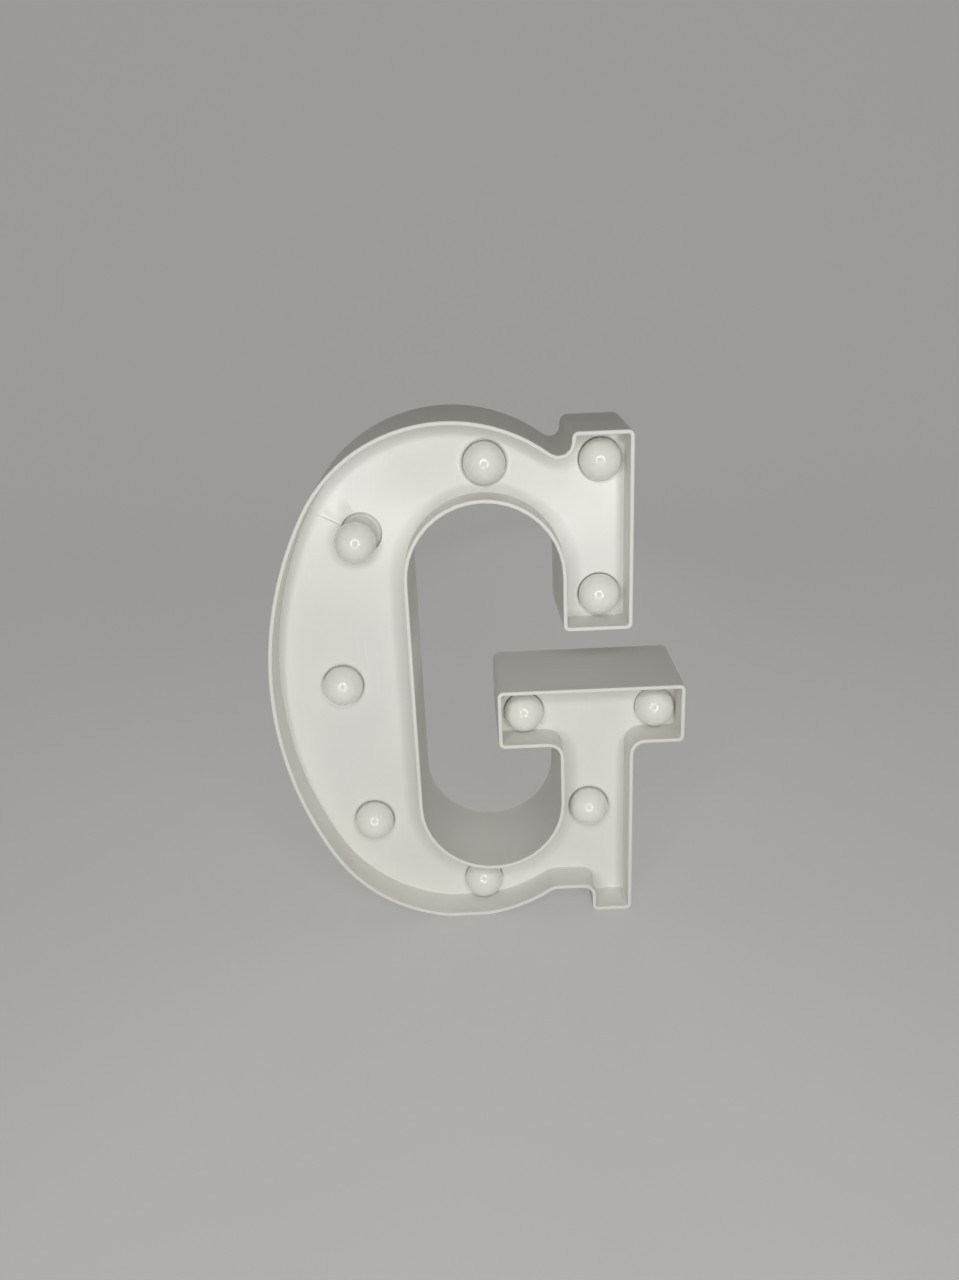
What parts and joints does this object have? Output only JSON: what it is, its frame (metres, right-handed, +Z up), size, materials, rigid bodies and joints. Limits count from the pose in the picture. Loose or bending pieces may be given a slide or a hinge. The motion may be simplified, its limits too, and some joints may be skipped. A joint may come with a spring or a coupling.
{
  "type": "light-up letter",
  "caption": "White plastic marquee letter G: a tray with globe lamps on a recessed panel, a screwed back cover, a hinged battery door and a slide switch.",
  "frame": {"origin": "middle of the letter's outer box at the floor it stands on", "axes": "+X to the reader's right, +Y from the front rim to the back, +Z up"},
  "size_m": [0.174, 0.045, 0.2215],
  "materials": {
    "white_plastic": "satin-gloss moulded white plastic",
    "milky_plastic": "glossy milky translucent plastic",
    "grey_plastic": "matt moulded plastic",
    "black_plastic": "matt moulded plastic",
    "led_epoxy": "clear yellowish epoxy",
    "steel": "bright zinc plate",
    "spring_steel": "nickel plated wire",
    "nickel": "nickel plated sheet",
    "cell_can": "plain printed jacket",
    "red_insulation": "soft insulation",
    "black_insulation": "soft insulation"
  },
  "bodies": {
    "letter": {"front_shell": "white_plastic", "back_cover": "white_plastic", "cover_screws": "steel", "globe_arm_end": "milky_plastic", "globe_arm_top": "milky_plastic", "globe_top": "milky_plastic", "globe_upper_left": "milky_plastic", "globe_left": "milky_plastic", "globe_lower_left": "milky_plastic", "globe_bottom": "milky_plastic", "globe_stem": "milky_plastic", "globe_bar_left": "milky_plastic", "globe_bar_right": "milky_plastic", "holder_arm_end": "grey_plastic", "holder_arm_top": "grey_plastic", "holder_top": "grey_plastic", "holder_upper_left": "grey_plastic", "holder_left": "grey_plastic", "holder_lower_left": "grey_plastic", "holder_bottom": "grey_plastic", "holder_stem": "grey_plastic", "holder_bar_left": "grey_plastic", "holder_bar_right": "grey_plastic", "led_arm_end": "led_epoxy", "led_arm_top": "led_epoxy", "led_top": "led_epoxy", "led_upper_left": "led_epoxy", "led_left": "led_epoxy", "led_lower_left": "led_epoxy", "led_bottom": "led_epoxy", "led_stem": "led_epoxy", "led_bar_left": "led_epoxy", "led_bar_right": "led_epoxy", "cell_left": "cell_can", "cell_right": "cell_can", "positive_plate": "nickel", "negative_plate": "nickel", "negative_spring": "spring_steel", "bridge_plate": "nickel", "bridge_spring": "spring_steel", "switch_body": "steel", "switch_terminals": "nickel", "switch_screws": "steel", "wire_positive": "red_insulation", "wire_negative": "black_insulation", "feed_positive": "red_insulation", "feed_negative": "black_insulation", "battery_lead": "red_insulation"},
    "battery_door": {"battery_door": "white_plastic"},
    "switch_slider": {"switch_slider": "black_plastic"}
  },
  "joints": [
    {"name": "battery_door_hinge", "type": "hinge", "parent": "letter", "child": "battery_door", "pos_m": [-0.05225, 0.0205, 0.1337], "axis": [1, 0, 0], "range_deg": [0, 85]},
    {"name": "switch_slide", "type": "slide", "parent": "letter", "child": "switch_slider", "axis": [1, 0, 0], "range_m": [0, 0.004]}
  ]
}
